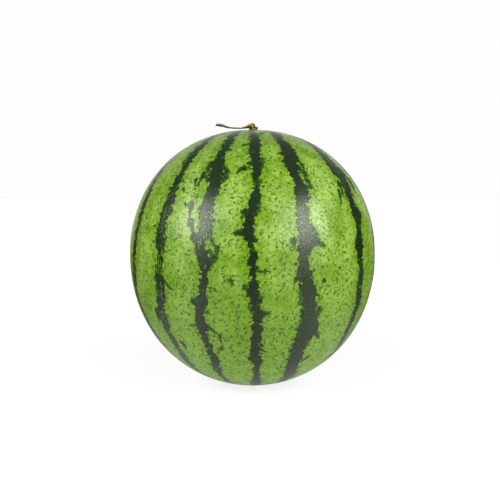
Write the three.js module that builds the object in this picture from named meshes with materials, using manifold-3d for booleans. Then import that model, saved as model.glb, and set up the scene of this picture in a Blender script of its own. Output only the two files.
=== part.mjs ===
// A round striped watermelon with its dried stem, standing on its blossom end.
// Millimetres, +Z up. The origin is the centre of the small flat spot that it rests on.
// The stem end is up, the stem's loose tail points along -X, and -Y is the front.

import * as THREE from 'three';
import { mergeVertices } from 'three/addons/utils/BufferGeometryUtils.js';
import Module from 'manifold-3d';

// Driving dimensions of the fruit
const equatorRadius = 120;
const heightAboveEquator = 121.5;
const depthBelowEquator = 127.2;
const upperSquareness = 2.1; // 2 is a plain ellipse, more is fuller at the shoulder
const lowerSquareness = 2.05;
const restingSpotRadius = 15;
const blossomScarRadius = 6; // the scar lies in a small dent inside the resting spot
const blossomScarDepth = 1.2;

// The shallow hollow that the stem grows out of
const hollowDepth = 3.0;
const hollowSpread = 11;

// Slow unevenness of the rind: three broad lobes, and a low rib under each dark stripe
const lobeCount = 3;
const lobeHeight = 0.9;
const lobeTurn = THREE.MathUtils.degToRad(35);
const ribCount = 15;
const ribHeight = 0.3;
const ribTurn = THREE.MathUtils.degToRad(-90);

// Facets of the fruit
const columns = 75;
const rows = 40;
const restingRow = rows - 2; // the row at the rim of the resting spot

// The stem and the plain hole that its root stands in
const rootRadius = 2.9;
const rootDepth = 4;
const clearance = 0.3;
const stemSides = 15;
const stemSteps = 44;
const stemTension = 0.5; // how tightly the stem's line turns at its stops
const ridgeCount = 5;
const ridgeHeight = 0.11; // share of the stem's own radius
const ridgeTwist = 2.4; // radians from the root to the tip
const rootStops = 2; // the first stops lie in the hole
const footHeight = 0.9; // above the hollow's floor, just clear of its rising sides

// Fineness of the sums
const weldDistance = 1e-4; // vertices closer than this are one
const halvings = 50;

const lowestPolarAngle = polarAngleOfRestingSpot();
const equatorHeight = -profilePoint(lowestPolarAngle).height;
const hollowFloor = equatorHeight + heightAboveEquator - hollowDepth;

// The stem's line, from the root to the cut tip, measured from the floor of the hollow.
// Each stop is [x, y, z, radius]: the foot spreads on the rind, the knob bends over, and the thin
// tail lies out to the side just above the fruit and thickens again at its cut end.
const stemStops = [
  [0.2, 0, -rootDepth + clearance, rootRadius - clearance],
  [0.2, 0, footHeight, rootRadius - clearance],
  [0.2, 0, footHeight, 4.4],
  [0.2, 0, 2.2, 4.0],
  [-0.1, 0.1, 3.8, 3.7],
  [-0.4, 0.2, 5.4, 3.9],
  [-0.9, 0.1, 6.5, 3.6],
  [-2.5, -0.2, 6.9, 2.6],
  [-4.6, -0.6, 6.5, 1.7],
  [-7.2, -0.9, 5.6, 1.15],
  [-11.0, -1.1, 5.1, 0.85],
  [-15.5, -1.0, 5.0, 0.75],
  [-20.5, -0.7, 5.3, 0.8],
  [-25.0, -0.3, 6.1, 0.95],
  [-29.0, 0.2, 7.4, 1.3],
  [-32.5, 0.6, 8.2, 1.45],
  [-35.4, 0.7, 8.2, 1.1],
  [-36.6, 0.7, 8.0, 0.7],
];

// A short dry spur left where a tendril broke off beside the foot
const spurFoot = new THREE.Vector3(2.9, -0.6, 1.9);
const spurTip = new THREE.Vector3(4.6, -0.8, 6.6);
const spurFootRadius = 1.1;
const spurTipRadius = 0.6;
const spurSides = 8;

const wasm = await Module();
wasm.setup();

// Distance from the equator's centre to the rind along a polar angle, counted from the stem end
function profileDistance(polar) {
  const upper = polar < Math.PI / 2;
  const squareness = upper ? upperSquareness : lowerSquareness;
  const halfHeight = upper ? heightAboveEquator : depthBelowEquator;
  const across = (Math.abs(Math.sin(polar)) / equatorRadius) ** squareness;
  const along = (Math.abs(Math.cos(polar)) / halfHeight) ** squareness;
  return (across + along) ** (-1 / squareness);
}

function profilePoint(polar) {
  const distance = profileDistance(polar);
  return { radius: distance * Math.sin(polar), height: distance * Math.cos(polar) };
}

// The polar angle at which the lower profile has narrowed to the resting spot
function polarAngleOfRestingSpot() {
  let low = Math.PI / 2;
  let high = Math.PI;
  for (let halving = 0; halving < halvings; halving += 1) {
    const middle = (low + high) / 2;
    if (profilePoint(middle).radius > restingSpotRadius) low = middle;
    else high = middle;
  }
  return low;
}

// How far the lobes and ribs lift the rind; both fade out towards the two ends
function unevenness(polar, azimuth) {
  const fade = Math.sin(polar) ** 2;
  const lobes = lobeHeight * Math.cos(lobeCount * (azimuth - lobeTurn));
  const ribs = ribHeight * Math.cos(ribCount * (azimuth - ribTurn));
  return fade * (lobes + ribs);
}

function rindPoint(polar, azimuth) {
  const { radius, height } = profilePoint(polar);
  const grown = radius + unevenness(polar, azimuth);
  const hollow = polar < Math.PI / 2 ? hollowDepth * Math.exp(-((radius / hollowSpread) ** 2)) : 0;
  return new THREE.Vector3(
    grown * Math.cos(azimuth),
    grown * Math.sin(azimuth),
    equatorHeight + height - hollow,
  );
}

// A closed solid with shared vertices, ready to be joined or cut
function toSolid(geometry) {
  const bare = geometry.clone();
  bare.deleteAttribute('normal');
  bare.deleteAttribute('uv');
  const merged = mergeVertices(bare, weldDistance);
  return new wasm.Manifold(new wasm.Mesh({
    numProp: 3,
    vertProperties: new Float32Array(merged.attributes.position.array),
    triVerts: new Uint32Array(merged.index.array),
  }));
}

function toGeometry(solid) {
  const mesh = solid.getMesh();
  const geometry = new THREE.BufferGeometry();
  geometry.setAttribute('position', new THREE.BufferAttribute(mesh.vertProperties, 3));
  geometry.setIndex(new THREE.BufferAttribute(mesh.triVerts, 1));
  geometry.computeVertexNormals();
  return geometry;
}

// The fruit: a sphere's rows and columns carried onto the rind. The last two rows are the flat
// resting spot and, in its middle, the dent of the blossom scar.
function fruitGeometry() {
  const geometry = new THREE.SphereGeometry(1, columns, rows);
  geometry.rotateX(Math.PI / 2);
  const position = geometry.attributes.position;
  const point = new THREE.Vector3();
  for (let i = 0; i < position.count; i += 1) {
    point.fromBufferAttribute(position, i);
    const spherePolar = Math.acos(THREE.MathUtils.clamp(point.z, -1, 1));
    const row = Math.round((spherePolar / Math.PI) * rows);
    if (row === rows) {
      position.setXYZ(i, 0, 0, blossomScarDepth);
      continue;
    }
    const turnFromSeam = (Math.PI - Math.atan2(point.y, point.x)) / (2 * Math.PI);
    const column = Math.round(turnFromSeam * columns) % columns;
    const azimuth = row === 0 ? 0 : Math.PI - (column / columns) * 2 * Math.PI;
    const polar = Math.min(1, row / restingRow) * lowestPolarAngle;
    const rind = rindPoint(polar, azimuth);
    if (row >= restingRow) rind.z = 0;
    if (row > restingRow) rind.setLength(blossomScarRadius);
    position.setXYZ(i, rind.x, rind.y, rind.z);
  }
  const hole = new THREE.CylinderGeometry(rootRadius, rootRadius, 2 * rootDepth, stemSides);
  hole.rotateX(Math.PI / 2);
  hole.translate(stemStops[0][0], stemStops[0][1], hollowFloor);
  return toGeometry(toSolid(geometry).subtract(toSolid(hole)));
}

// The stem's line as a smooth curve through the stops above the rind
const stemLine = new THREE.CatmullRomCurve3(
  stemStops.slice(rootStops).map(([x, y, z]) => new THREE.Vector3(x, y, z)), false, 'catmullrom', stemTension,
);

// The stem's radius, between the stops' own, at a share of the line
function stemRadius(share) {
  const spans = stemStops.length - rootStops - 1;
  const span = Math.min(Math.floor(share * spans), spans - 1);
  const before = stemStops[rootStops + span][3];
  const after = stemStops[rootStops + span + 1][3];
  return THREE.MathUtils.lerp(before, after, share * spans - span);
}

// The stem: a cylinder's rows carried along its line. Sections above the rind stand square to the
// line and have low ridges that twist slowly, and those at the root stay level in their hole.
function stemTube() {
  const geometry = new THREE.CylinderGeometry(1, 1, 1, stemSides, stemSteps);
  const position = geometry.attributes.position;
  const vertex = new THREE.Vector3();
  for (let i = 0; i < position.count; i += 1) {
    vertex.fromBufferAttribute(position, i);
    const row = Math.round((vertex.y + 0.5) * stemSteps);
    const angle = Math.atan2(-vertex.z, vertex.x);
    const reach = Math.min(1, Math.round(Math.hypot(vertex.x, vertex.z)));
    const place = new THREE.Vector3();
    const ahead = new THREE.Vector3(1, 0, 0);
    const aside = new THREE.Vector3(0, 1, 0);
    let radius;
    if (row < rootStops) {
      const [x, y, z, rootStopRadius] = stemStops[row];
      place.set(x, y, z);
      radius = rootStopRadius;
    } else {
      const share = (row - rootStops) / (stemSteps - rootStops);
      place.copy(stemLine.getPoint(share));
      radius = stemRadius(share);
      if (share > 0) {
        const along = stemLine.getTangent(share);
        ahead.crossVectors(aside, along).normalize();
        aside.crossVectors(along, ahead);
        radius *= 1 + ridgeHeight * Math.cos(ridgeCount * angle + ridgeTwist * share);
      }
    }
    place.addScaledVector(ahead, reach * radius * Math.cos(angle));
    place.addScaledVector(aside, reach * radius * Math.sin(angle));
    position.setXYZ(i, place.x, place.y, place.z);
  }
  return geometry;
}

function stemSpur() {
  const along = new THREE.Vector3().subVectors(spurTip, spurFoot);
  const geometry = new THREE.CylinderGeometry(
    spurTipRadius, spurFootRadius, along.length(), spurSides,
  );
  const up = new THREE.Vector3(0, 1, 0);
  const turn = new THREE.Quaternion().setFromUnitVectors(up, along.clone().normalize());
  const middle = new THREE.Vector3().addVectors(spurFoot, spurTip).multiplyScalar(0.5);
  geometry.applyQuaternion(turn);
  geometry.translate(middle.x, middle.y, middle.z);
  return geometry;
}

const rindMaterial = new THREE.MeshStandardMaterial({
  color: 0x7fa832, roughness: 0.42, metalness: 0,
});
const dryStemMaterial = new THREE.MeshStandardMaterial({
  color: 0x8a7238, roughness: 0.85, metalness: 0,
});

const fruit = new THREE.Mesh(fruitGeometry(), rindMaterial);
fruit.name = 'fruit';

const stem = new THREE.Mesh(
  toGeometry(toSolid(stemTube()).add(toSolid(stemSpur()))), dryStemMaterial,
);
stem.name = 'stem';
stem.position.set(0, 0, hollowFloor);

const watermelon = new THREE.Group();
watermelon.name = 'watermelon';
watermelon.add(fruit, stem);

export default watermelon;
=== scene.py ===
import math

import bpy
import numpy as np
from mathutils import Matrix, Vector


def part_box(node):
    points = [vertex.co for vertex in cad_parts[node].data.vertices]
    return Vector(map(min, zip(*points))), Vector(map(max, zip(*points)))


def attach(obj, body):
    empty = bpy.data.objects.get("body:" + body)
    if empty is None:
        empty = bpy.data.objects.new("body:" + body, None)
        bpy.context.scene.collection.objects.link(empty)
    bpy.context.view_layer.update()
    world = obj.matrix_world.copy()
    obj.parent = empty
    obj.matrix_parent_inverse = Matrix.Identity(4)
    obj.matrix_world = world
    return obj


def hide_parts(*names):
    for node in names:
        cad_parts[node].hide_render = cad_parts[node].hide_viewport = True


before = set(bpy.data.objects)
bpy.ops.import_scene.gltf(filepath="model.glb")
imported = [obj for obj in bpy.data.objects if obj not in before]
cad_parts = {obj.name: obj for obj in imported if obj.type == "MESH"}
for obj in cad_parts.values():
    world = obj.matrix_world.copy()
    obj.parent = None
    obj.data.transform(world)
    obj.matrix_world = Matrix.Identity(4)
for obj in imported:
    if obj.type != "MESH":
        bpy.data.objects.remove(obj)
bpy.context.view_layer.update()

bl_info = {
    "name": "Striped Watermelon",
    "version": (1, 0, 0),
    "blender": (4, 5, 0),
    "location": "3D View > Sidebar > Watermelon",
    "description": "Builds a whole round watermelon with its dried stem on a pale floor",
    "category": "Add Mesh",
}

FRUIT_LOW, FRUIT_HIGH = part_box("fruit")
MM = 0.001
TURN = 2 * math.pi
FRONT = -math.pi / 2  # the azimuth that faces the camera, counted from +X

# The six stripes of the front, from left to right. Each stop is the height in mm, the azimuth in
# degrees to the right of the front, and half the stripe's width in mm.
FRONT_STRIPES = {
    "left rim": (
        (243, -82, 2.2), (232, -76, 3.0), (212, -70, 3.4), (182, -65, 3.8), (150, -65.5, 3.8),
        (120, -67, 3.6), (95, -69, 3.4), (60, -67, 2.8), (30, -65, 2.6), (8, -62, 2.0),
    ),
    "left": (
        (244, -56, 2.6), (233, -46, 4.0), (218, -43, 4.4), (203, -42, 3.2), (189, -41.5, 5.0),
        (175, -42, 5.4), (160, -43, 5.4), (140, -42.5, 4.4), (120, -43, 4.0), (98, -43.5, 5.0),
        (80, -46, 6.4), (67, -46, 4.2), (50, -45, 3.4), (34, -47, 3.2), (18, -48, 2.6), (6, -50, 2.0),
    ),
    "left of middle": (
        (244, -24, 2.2), (233, -20, 4.0), (217, -20.5, 4.4), (202, -19, 6.4), (187, -19, 5.2),
        (170, -20, 5.2), (156, -20, 5.6), (142, -21, 4.4), (128, -19, 5.0), (115, -20, 3.6),
        (100, -21, 4.4), (85, -23, 4.2), (70, -23, 4.2), (57, -23, 3.0), (40, -22, 4.2),
        (25, -24, 2.8), (8, -25, 2.2),
    ),
    "middle": (
        (245, -2, 1.8), (238, 2, 4.0), (226, 1.5, 4.6), (212, 2, 5.4), (203, 2.4, 2.6), (189, 1.6, 3.0),
        (175, 0, 4.4), (157, -2, 4.4), (143, -0.5, 3.6), (129, 0, 3.4), (115, 0.5, 2.4), (102, 0.6, 4.8),
        (87, 1.8, 3.4), (73, 1.8, 3.8), (60, 1.6, 4.0), (47, 1.2, 4.6), (30, 2.2, 2.4), (15, 3, 4.4),
        (5, 3, 3.0),
    ),
    "right of middle": (
        (245, 32, 2.6), (236, 26.5, 4.2), (225, 25, 6.4), (217, 23.4, 7.6), (210, 21.9, 7.0),
        (203.5, 22, 4.2), (198, 22.5, 3.0), (192, 22.7, 4.8), (185, 22.5, 6.2), (176, 22, 5.4),
        (163, 21, 5.8), (150, 23, 8.8), (136, 21, 5.4), (122, 21, 5.6), (108, 23, 6.8), (94, 24, 7.2),
        (80, 25, 7.8), (69, 26, 10.5), (58, 24, 6.8), (45, 24, 7.0), (30, 26, 6.4), (15, 31, 5.4),
        (5, 34, 3.0),
    ),
    "right": (
        (245, 74, 2.4), (236, 64, 4.4), (225, 58.5, 6.0), (213, 56.2, 8.2), (200, 57.2, 8.8),
        (191, 56, 6.4), (182, 54.6, 5.4), (175.5, 54.2, 5.6), (169, 56.4, 9.6), (162, 55.4, 6.0),
        (153, 54.4, 4.4), (147, 53.6, 5.0), (141, 53.4, 7.6), (132, 53, 4.8), (117, 55, 4.8),
        (103, 55, 5.4), (87, 57, 4.8), (72, 57, 4.6), (56, 58, 4.2), (38, 61, 3.6), (15, 63, 2.8),
    ),
}

# How strongly light flecks break up the inside of each front stripe, from 0 to 1
FRONT_FLECKS = {
    "left rim": 0.45, "left": 1.0, "left of middle": 0.35,
    "middle": 0.25, "right of middle": 0.25, "right": 0.6,
}

# Thorns, spurs, rings and islands beside the front stripes: the height in mm and azimuth in degrees
# of each end, and the half-width in mm at the first end. The second end is a point.
FRONT_THORNS = (
    (112, -41.5, 103.5, -35.8, 1.5), (82, -49.5, 71, -51, 2.8), (54, -39, 47, -38.2, 2.4),
    (203, -26, 190, -27.8, 2.2), (200, -24, 198, -22.4, 1.3), (198, -29.6, 193, -28.6, 1.6),
    (212, -23.5, 205, -26.2, 2.8), (208, -15.5, 205, -13.2, 2.6), (205.5, -13.4, 199, -13.6, 2.0),
    (199.5, -13.5, 194.5, -16, 2.4), (191, -35.5, 188, -34.5, 1.2), (177, -31, 174, -30.4, 1.5),
    (178, -28, 166, -27.5, 2.4), (163, -27, 152, -24.5, 3.0), (150, -24.5, 143, -23, 3.4),
    (150, -17.5, 141, -14.2, 1.6), (141, -14, 132, -15, 1.9), (133, -15.5, 126, -18, 3.0),
    (139, -17, 135, -17, 1.2), (114.3, -8.5, 111.8, -7.4, 1.6), (109.3, -3, 105.9, -1.8, 1.8),
    (95.6, -25.2, 90.6, -22.7, 3.4), (75, -24.5, 73, -29, 1.1), (74, -20.5, 66, -15.6, 1.2),
    (66, -15.4, 55, -15, 1.2), (53.5, -15.4, 47, -19.5, 1.1), (155, -2.2, 153, -8.2, 4.2),
    (172, -4, 163, -4.5, 1.5), (207.5, -5, 204.1, -8.4, 2.8), (229.6, -4.7, 226.7, -7.9, 1.0),
    (230.6, -1.8, 229, -7.5, 1.0), (122.8, 2.5, 122.7, 7.0, 1.2), (221.2, 20.5, 221.2, 15.7, 2.2),
    (148, 16.8, 140, 16.2, 2.4), (115.5, 17.6, 113, 17.2, 2.4), (212, 28.9, 203, 28, 1.6),
    (204, 28, 196, 27.6, 2.0), (197, 27.8, 192, 29.8, 2.2), (192.5, 24.5, 191, 29.6, 2.4),
    (146, 27, 142, 31, 2.6), (88, 29.5, 78, 29.3, 2.6), (196, 50, 184, 48.4, 2.4),
    (189, 46.6, 177, 44.6, 1.8), (186, 52.2, 180, 51.6, 1.2),
    (209, 62.5, 197, 65.5, 3.0), (198, 65.5, 187, 64, 3.4), (66, 31, 60, 34, 2.6), (41, 33, 36, 30, 2.0),
    (240, 8, 243, 18, 1.5), (87.5, 3.2, 86.5, 7.2, 3.0),
)

# Strokes in the light green, in mm: the size of their cells, half their length and width, the share
# of cells that hold one, and how strongly they show
RIND_STROKES = ((2.7, 0.85, 0.4, 0.5, 0.9), (4.0, 1.4, 0.5, 0.5, 1.4), (6.5, 1.3, 0.8, 0.5, 1.6))

# The stem's line above the rind, from its foot to the cut tip, in mm from the floor of the hollow:
# each stop is x, y, z and radius, as in the solid model.
STEM_STOPS = (
    (0.2, 0.0, 0.9, 4.4), (0.2, 0.0, 2.2, 4.0), (-0.1, 0.1, 3.8, 3.7), (-0.4, 0.2, 5.4, 3.9),
    (-0.9, 0.1, 6.5, 3.6), (-2.5, -0.2, 6.9, 2.6), (-4.6, -0.6, 6.5, 1.7), (-7.2, -0.9, 5.6, 1.15),
    (-11.0, -1.1, 5.1, 0.85), (-15.5, -1.0, 5.0, 0.75), (-20.5, -0.7, 5.3, 0.8),
    (-25.0, -0.3, 6.1, 0.95), (-29.0, 0.2, 7.4, 1.3), (-32.5, 0.6, 8.2, 1.45),
    (-35.4, 0.7, 8.2, 1.1), (-36.6, 0.7, 8.0, 0.7),
)
SPUR_STOPS = (
    (2.6, -0.5, 1.2, 1.2), (3.6, -0.7, 3.0, 1.05), (4.2, -0.8, 4.8, 0.8), (4.5, -0.8, 6.4, 0.6),
)

# The stem's surface. A wave's height is a share of the radius, and its two counts are the waves round
# the stem and the radians along it. The growth rings come and go along the stem. Each starts at a
# random phase, and the phases are drawn in the order given.
STEM_FULLNESS = 0.9
STEM_WAVES = {"fine wave": (0.045, 11, -5), "finest wave": (0.03, 17, 9), "slow wave": (0.06, 3, 61)}
GROWTH_RINGS = (0.05, 2, 150)
GROWTH_RINGS_COME_AND_GO = 23
SPUR_WAVE = (0.12, 4, 6)
STEM_PHASES = ("fine wave", "finest wave", "rings", "slow wave", "rings come and go", "roots", "spur")

# The corky foot: its rows, the roots that it spreads in, and how far it sinks into the rind
FOOT_ROWS = 12
FOOT_ROOTS = 7
FOOT_ROOT_HEIGHT = 0.16
FOOT_SINK = 0.5 * MM
ROOT_END = 2.0 * MM  # how far the closed lower end lies below the foot
TIP_DENT = 0.8  # how far the cut tip's middle is drawn back, in steps of three rows

# What the stem's material reads: how much the relief shows in the colour, and the spur's own values
FIBRE_RADIUS = 2.0
RAISED_MIDDLE, RAISED_GAIN = 0.42, 2.6
SPUR_RAISED, SPUR_TOWARD_TIP = 0.1, 0.02
SPUR_FIBRES = 40  # mm along the fibre pattern, so that the spur has its own part of it
POLES_RAISED = (0, 1, 0, 0.3)  # at the root, the tip, and the spur's two ends
POLES_TOWARD_TIP = (0, 1, SPUR_TOWARD_TIP, SPUR_TOWARD_TIP)
BUMP_STRENGTH = 0.7
WHITE = (1, 1, 1, 1)

# Rows and columns of facets
RIND_ROWS, RIND_COLUMNS = 214, 384
STEM_ROWS, STEM_COLUMNS = 300, 48
SPUR_ROWS, SPUR_COLUMNS = 24, 16
PROFILE_STEPS = 4001
SPOT_STEPS = 20001

# Slow unevenness of the rind, with heights in mm: broad lobes and a low rib under each stripe, as in
# the solid model, and seeded lumps made of waves
LOBES, LOBE_HEIGHT, LOBE_TURN = 3, 0.9, math.radians(35)
RIBS, RIB_HEIGHT = 15, 0.3
LUMP_HEIGHT, LUMP_LEVEL = 0.5, -0.35
LUMP_WAVES = 16
LUMPS_AROUND = (4, 26)
LUMPS_UPWARD = (0.03, 0.22)
LUMP_SOFTENING = 6

# The underside: the first row's polar angle and the flat ring's rows as shares of its radius, then the
# blossom scar's dent with a low button in its middle
FIRST_POLAR = 0.004
RING_SHARES = (0.82, 0.6)
DENT_ROWS, DENT_INNERMOST = 26, 0.04
DENT_ROUNDNESS = 1.5
BUTTON_HEIGHT, BUTTON_SPREAD = 0.5 * MM, 0.42
UNDERSIDE = 20 * MM  # heights below this belong to the underside
SCAR_FADE = 0.25
STRIPES_END, STRIPES_END_SLOPE = 9, 0.5  # mm from the middle of the underside

# What the rind's material reads at the fruit's two poles, the stem end first
POLE_MARKS = {
    "stripe_inside": (-2, -4), "stripe_flecks": (0, 0), "thorn_inside": (-9, -9), "blossom_scar": (0, 1),
}

# How the stripes at the back are drawn, in mm and degrees. They fill the gap between the outermost
# front ones, and each wanders and swells as it goes down.
BACK_STRIPES = 9
GAP_START, GAP_END = 55, 360 - 66
STRIPE_SHIFT = (-2.5, 2.5)
BACK_FLECKS = (0.1, 0.9)
WALK_HEIGHTS = (245, 236, 222, 205, 188, 170, 152, 134, 116, 98, 80, 62, 44, 26, 12, 5)
WALK_SWAY = 1.0
WALK_WIDTHS, WALK_SWELL = (3.2, 6.2), (0.85, 1.25)
WALK_END_WIDTH, WALK_NEXT_WIDTH = 2.4, 3.6

# How the thorns at the back are drawn, in mm and degrees. An attached one starts inside its stripe, and
# an island stands clear of it.
BACK_THORNS = 7
ATTACHED_SHARE = 0.55
ATTACHED_START, ATTACHED_REACH = (1, 3), (2, 4.5)
ISLAND_START, ISLAND_REACH = (4.5, 8), (-1.5, 1.5)
THORN_HEIGHTS, THORN_TILT, THORN_WIDTHS = (25, 225), (-11, 11), (0.9, 2.4)

# How a thorn is measured: its taper, how far round it counts, and the fruit's middle and half height in
# mm, which tell how upright the rind stands
THORN_TAPER = 0.85
THORN_SIGHT = 0.6
SIDE_MIDDLE, SIDE_HALF, LEAST_UPRIGHT = 125, 128, 0.05
FAR_OUTSIDE = -99.0
TINY = 1e-6

# Where the outline of the fruit lies in the photograph's 500 x 500 frame
PHOTO_SIDE = 500
OUTLINE_LEFT, OUTLINE_RIGHT = 130.1, 374.7
OUTLINE_TOP, OUTLINE_BOTTOM = 131.0, 384.4

# The softboxes and the low reflectors: the degrees to the right of the front and above the horizon,
# the width and height in m, and the setting that holds the power
LAMPS = {
    "left softbox": (-54, 26.5, 0.64, 0.44, "left_power"),
    "right softbox": (51, 26.5, 0.64, 0.44, "right_power"),
    "left reflector": (-50, 4, 0.6, 0.36, "left_low_power"),
    "right reflector": (45, 4, 0.6, 0.36, "right_low_power"),
}
LAMP_DISTANCE = 0.9
LAMP_AIM = (0, 0, 0.12)

# Where the room's ceiling and back paper begin and reach their full light, as the upward and backward
# part of a ray's direction
CEILING_EDGE = (0.3, 0.9)
PAPER_EDGE = (0.62, 1.0)

# The floor, with distances in m from where the fruit stands
FLOOR_REACH = 40.0
FLOOR_GRAIN, FLOOR_GRAIN_EDGE = 0.004, (0.3, 0.7)
FLOOR_GLOSS = 0.2
FLOOR_ROUGHNESS = (0.75, 0.85)
FLOOR_SEEN = (0.22, 0.22, 0.22, 1.0)
FLOOR_FAR = (0.1, 0.1, 0.1, 1.0)
FAR_EDGE, FAR_IN_GLOSS = (0.35, 1.6), 0.6
PALE_EDGE, PALE_LEVELS = (0.1, 0.6), (0.82, 0.95)
GLOW_EDGE, GLOW_IN_GLOSS = (0.08, 0.3), 0.3
POOL_AZIMUTHS, POOL_DISTANCE, POOL_EDGE = (-42, 42), 0.3, (0.06, 0.26)


def colour(red, green, blue):
    """A colour given as it looks on a screen, 0 to 255, as Blender's linear values."""
    share = np.array([red, green, blue]) / 255
    linear = np.where(share <= 0.04045, share / 12.92, ((share + 0.055) / 1.055) ** 2.4)
    return (*linear.tolist(), 1.0)


class MELON_PG_rind(bpy.types.PropertyGroup):
    """Sizes and colours of the fruit."""
    equator_radius: bpy.props.FloatProperty(
        name="Equator radius", description="Mean radius where the fruit is widest",
        default=120 * MM, unit="LENGTH")
    height_above: bpy.props.FloatProperty(
        name="Height above equator", description="From the equator to the stem end, before its hollow",
        default=121.5 * MM, unit="LENGTH")
    depth_below: bpy.props.FloatProperty(
        name="Depth below equator",
        description="From the equator to the blossom end, before it is flattened",
        default=127.2 * MM, unit="LENGTH")
    upper_squareness: bpy.props.FloatProperty(
        name="Upper squareness", description="2 is a plain ellipse, more is fuller at the shoulder",
        default=2.1)
    lower_squareness: bpy.props.FloatProperty(
        name="Lower squareness", description="2 is a plain ellipse, more is fuller below",
        default=2.05)
    resting_radius: bpy.props.FloatProperty(
        name="Resting spot radius", description="Outer radius of the flat ring that the fruit rests on",
        default=15 * MM, unit="LENGTH")
    scar_radius: bpy.props.FloatProperty(
        name="Blossom scar radius", description="Radius of the dent inside the resting spot",
        default=6 * MM, unit="LENGTH")
    scar_depth: bpy.props.FloatProperty(
        name="Blossom scar depth", description="Depth of that dent", default=1.2 * MM, unit="LENGTH")
    hollow_depth: bpy.props.FloatProperty(
        name="Stem hollow depth", description="Depth of the hollow round the stem",
        default=3 * MM, unit="LENGTH")
    hollow_spread: bpy.props.FloatProperty(
        name="Stem hollow spread", description="Radius at which the hollow has faded to a third",
        default=11 * MM, unit="LENGTH")
    light: bpy.props.FloatVectorProperty(
        name="Light green", description="Ground colour between the stripes", subtype="COLOR", size=4,
        default=colour(106, 146, 14), min=0, max=1)
    pale: bpy.props.FloatVectorProperty(
        name="Pale green", description="Palest blotches of the ground", subtype="COLOR", size=4,
        default=colour(148, 181, 78), min=0, max=1)
    deep: bpy.props.FloatVectorProperty(
        name="Deep green", description="Flecks and veins in the ground", subtype="COLOR", size=4,
        default=colour(60, 99, 0), min=0, max=1)
    fringe: bpy.props.FloatVectorProperty(
        name="Fringe green", description="Edges and islands of the stripes", subtype="COLOR", size=4,
        default=colour(40, 76, 0), min=0, max=1)
    stripe: bpy.props.FloatVectorProperty(
        name="Stripe", description="Blackish green of the stripes", subtype="COLOR", size=4,
        default=colour(18, 34, 17), min=0, max=1)
    scar: bpy.props.FloatVectorProperty(
        name="Blossom scar", description="Corky brown of the scar under the fruit", subtype="COLOR", size=4,
        default=colour(150, 128, 84), min=0, max=1)
    seed: bpy.props.IntProperty(
        name="Seed", description="Draws the hidden stripes and the slow lumps", default=11)


class MELON_PG_stem(bpy.types.PropertyGroup):
    """Form and colours of the dried stem."""
    ridge_count: bpy.props.IntProperty(
        name="Ridges", description="Main ridges round the stem", default=5)
    ridge_height: bpy.props.FloatProperty(
        name="Ridge height", description="Height of a ridge as a share of the radius", default=0.11)
    ridge_twist: bpy.props.FloatProperty(
        name="Twist", description="Turn of the ridges from the foot to the tip",
        default=2.4, subtype="ANGLE")
    straw: bpy.props.FloatVectorProperty(
        name="Straw", description="Raised fibres", subtype="COLOR", size=4,
        default=colour(186, 164, 84), min=0, max=1)
    bark: bpy.props.FloatVectorProperty(
        name="Bark", description="Grooves between the fibres", subtype="COLOR", size=4,
        default=colour(40, 26, 6), min=0, max=1)
    olive: bpy.props.FloatVectorProperty(
        name="Olive", description="Patches that are still greenish", subtype="COLOR", size=4,
        default=colour(118, 106, 44), min=0, max=1)
    # Partly bleached fibres and partly a painted highlight: it shows where raised fibres face up toward the
    # lamps
    bleach_and_highlight: bpy.props.FloatVectorProperty(
        name="Cream", description="Bleached fibres on the ridges", subtype="COLOR", size=4,
        default=colour(240, 230, 178), min=0, max=1)
    aged: bpy.props.FloatVectorProperty(
        name="Aged", description="Darker length before the cut tip", subtype="COLOR", size=4,
        default=colour(84, 66, 18), min=0, max=1)
    cut: bpy.props.FloatVectorProperty(
        name="Cut", description="Pale end where the stem was cut", subtype="COLOR", size=4,
        default=colour(250, 243, 196), min=0, max=1)
    cork: bpy.props.FloatVectorProperty(
        name="Cork", description="Brown of the corky foot", subtype="COLOR", size=4,
        default=colour(70, 46, 22), min=0, max=1)
    seed: bpy.props.IntProperty(name="Seed", description="Draws the wrinkles", default=5)


class MELON_PG_stage(bpy.types.PropertyGroup):
    """Camera, floor and light."""
    distance: bpy.props.FloatProperty(
        name="Camera distance", description="From the camera to the middle of the fruit",
        default=0.70, unit="LENGTH")
    elevation: bpy.props.FloatProperty(
        name="Camera elevation", description="Angle above the horizon",
        default=math.radians(5), subtype="ANGLE")
    left_power: bpy.props.FloatProperty(
        name="Left softbox", description="Power of the left softbox", default=7.5, subtype="POWER")
    right_power: bpy.props.FloatProperty(
        name="Right softbox", description="Power of the right softbox", default=7.9, subtype="POWER")
    left_low_power: bpy.props.FloatProperty(
        name="Left reflector", description="Power of the low reflector on the left",
        default=0.6, subtype="POWER")
    right_low_power: bpy.props.FloatProperty(
        name="Right reflector", description="Power of the low reflector on the right", default=1.6,
        subtype="POWER")
    ceiling_light: bpy.props.FloatProperty(
        name="Ceiling light", description="Light from the ceiling", default=0.2)
    back_light: bpy.props.FloatProperty(
        name="Back light", description="Light added by the white paper behind the fruit", default=0.75)
    backdrop: bpy.props.FloatProperty(
        name="Backdrop", description="Brightness of that paper as it is seen", default=0.985)
    floor_glow: bpy.props.FloatProperty(
        name="Floor glow", description="Light from the floor close to the fruit", default=1.1)
    floor_pools: bpy.props.FloatProperty(
        name="Floor pools", description="Brightness of the two lit pools of floor in the fruit's gloss",
        default=0.8)
    floor: bpy.props.FloatVectorProperty(
        name="Floor", description="Colour of the floor", subtype="COLOR", size=4,
        default=(0.35, 0.35, 0.35, 1.0), min=0, max=1)


def grid_faces(rows, columns):
    """Quads between neighbouring rows of a grid whose columns close into a ring."""
    row = np.arange(rows - 1)[:, None] * columns
    here = np.arange(columns)[None, :]
    beside = (here + 1) % columns
    corners = [row + here, row + columns + here, row + columns + beside, row + beside]
    return np.stack(corners, -1).reshape(-1, 4)


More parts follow.
